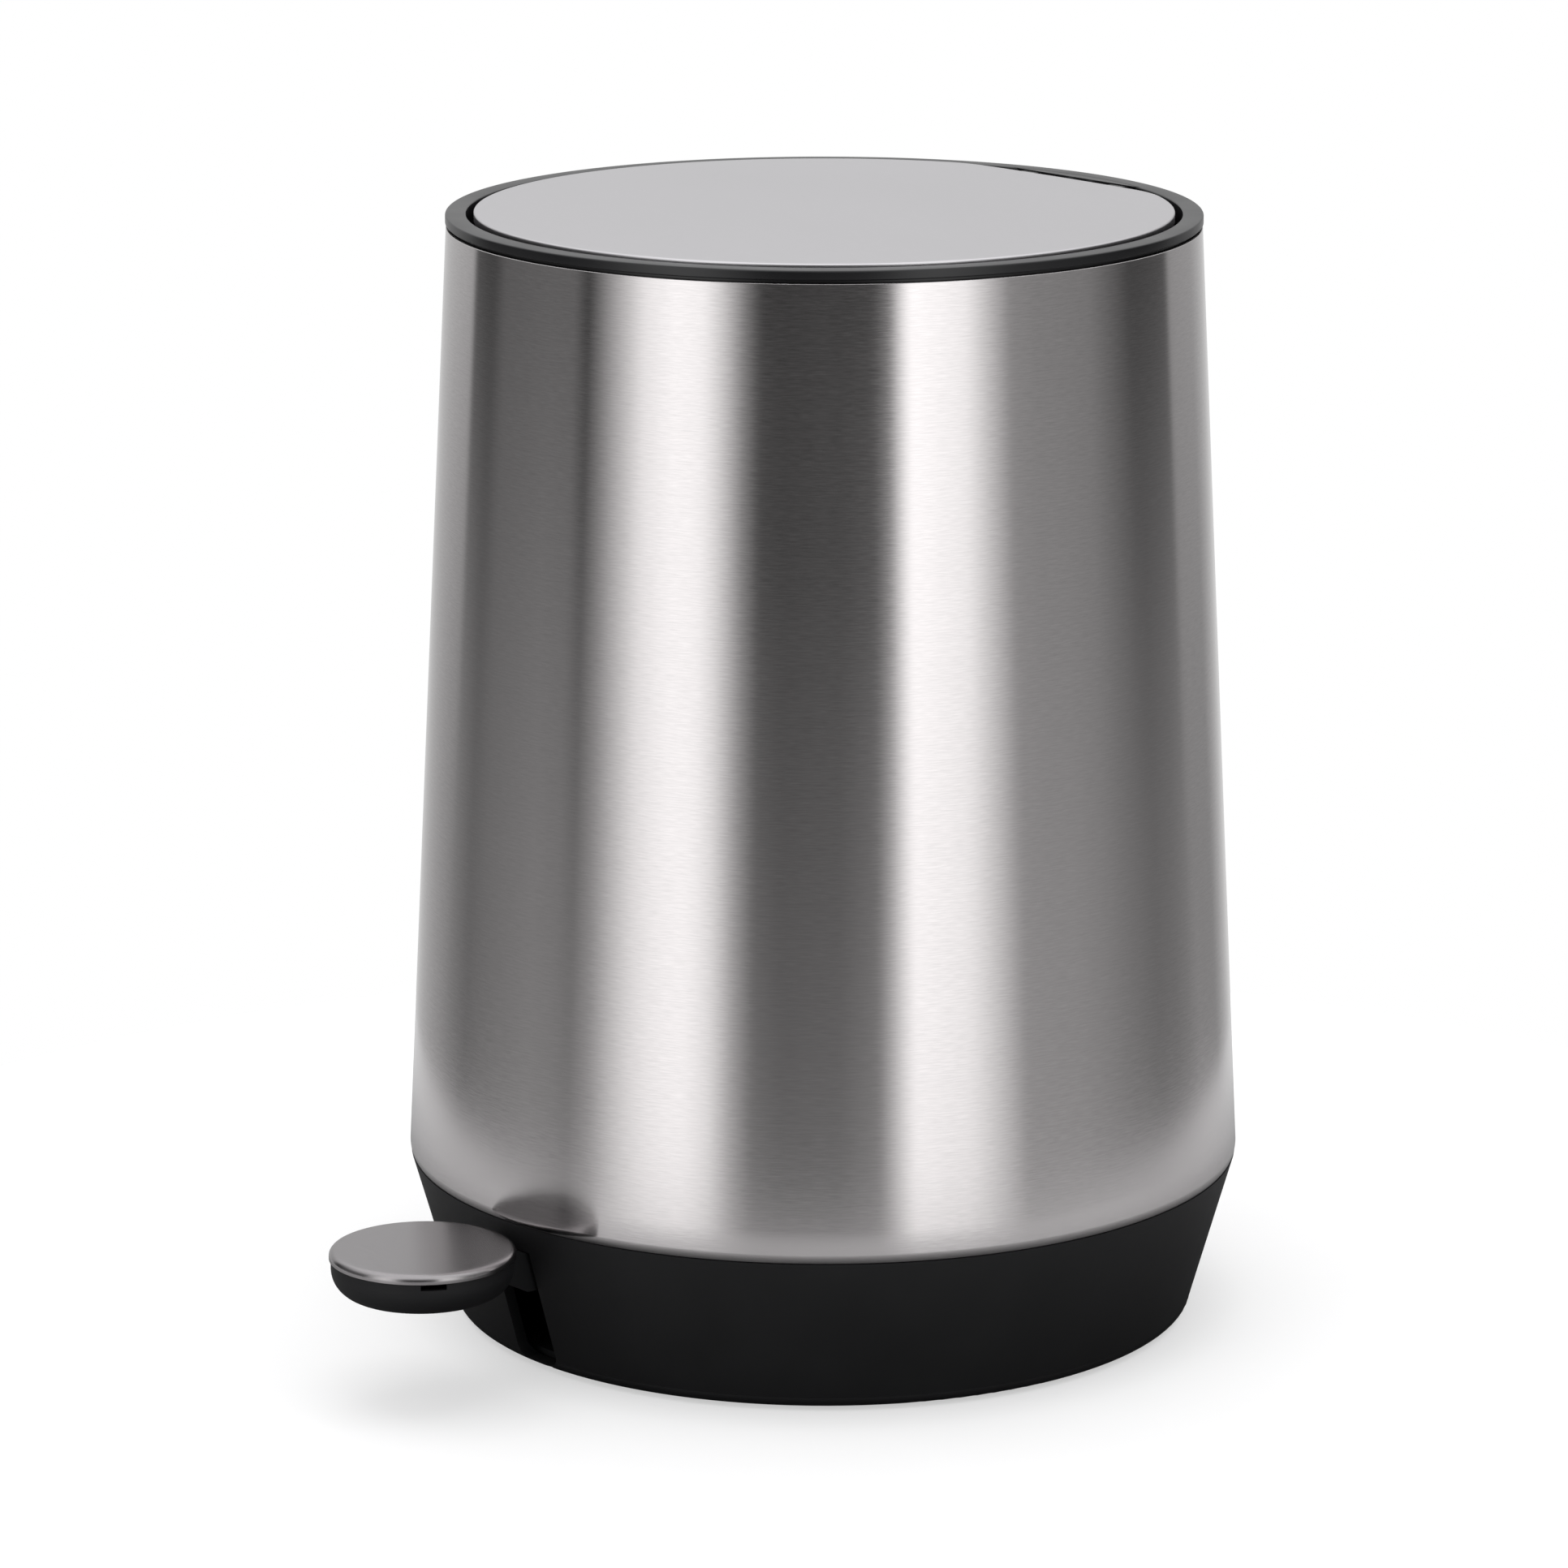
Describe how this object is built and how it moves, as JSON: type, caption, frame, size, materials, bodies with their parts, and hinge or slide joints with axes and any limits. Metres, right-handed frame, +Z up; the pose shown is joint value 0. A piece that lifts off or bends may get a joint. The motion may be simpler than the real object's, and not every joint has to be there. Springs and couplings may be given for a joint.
{
  "type": "pedal trash can",
  "caption": "Round pedal trash can: tapered steel body on a black base, recessed flat lid hinged at the rear and lifted by a foot pedal through a lever and push rod.",
  "frame": {"origin": "on the floor, at the axis of the round body", "axes": "+Z up, pedal towards -Y, lid hinge towards +Y, +X to the right seen from the pedal side"},
  "size_m": [0.2, 0.2449, 0.2681],
  "materials": {
    "brushed_steel": "brushed around the tube",
    "lid_steel": "fine satin",
    "pedal_steel": "fine satin",
    "zinc_steel": "zinc plated, dull",
    "bright_steel": "drawn wire",
    "black_plastic": "fine moulded grain",
    "rim_plastic": "smooth satin",
    "liner_plastic": "smooth satin",
    "pedal_plastic": "smooth satin",
    "bucket_plastic": "smooth moulded",
    "rubber": "matte",
    "nylon": "smooth"
  },
  "bodies": {
    "can": {"outer_shell": "brushed_steel", "base_housing": "black_plastic", "base_plate": "black_plastic", "foot_ring": "rubber", "base_screws": "zinc_steel", "top_rim": "rim_plastic", "lid_bumpers": "rubber", "hinge_pin": "bright_steel", "rod_guide": "black_plastic", "guide_screws": "zinc_steel", "lever_axle": "bright_steel", "axle_spacers": "nylon", "pedal_stop": "rubber"},
    "lid": {"lid_skin": "lid_steel", "lid_liner": "liner_plastic", "lid_bracket": "zinc_steel", "bracket_screws": "zinc_steel", "crank_pin": "bright_steel"},
    "rod": {"push_rod": "bright_steel", "rod_head": "black_plastic", "rod_foot": "black_plastic"},
    "pedal": {"pedal_lever": "zinc_steel", "link_pin": "bright_steel", "pedal_cup": "pedal_plastic", "pedal_cap": "pedal_steel", "pedal_screws": "zinc_steel"},
    "bucket": {"inner_bucket": "bucket_plastic"},
    "bail": {"bucket_bail": "bright_steel", "bail_grip": "bucket_plastic"}
  },
  "joints": [
    {"name": "lid_hinge", "type": "hinge", "parent": "can", "child": "lid", "pos_m": [0, 0.0788, 0.2639], "axis": [-1, 0, 0], "range_deg": [0, 85]},
    {"name": "pedal_hinge", "type": "hinge", "parent": "can", "child": "pedal", "pos_m": [0, 0, 0.0145], "axis": [1, 0, 0], "range_deg": [0, 9.99]},
    {"name": "rod_slide", "type": "slide", "parent": "can", "child": "rod", "axis": [0, 0, 1], "range_m": [0, 0.01236]},
    {"name": "bucket_lift", "type": "slide", "parent": "can", "child": "bucket", "axis": [0, 0, 1], "range_m": [0, 0.005]},
    {"name": "bail_hinge", "type": "hinge", "parent": "bucket", "child": "bail", "pos_m": [0, 0, 0.243], "axis": [-1, 0, 0], "range_deg": [0, 8]}
  ],
  "couplings": [
    {"joint": "pedal_hinge", "follows": "lid_hinge", "ratio": 0.11755},
    {"joint": "rod_slide", "follows": "lid_hinge", "m_per_rad": 0.0083337}
  ]
}
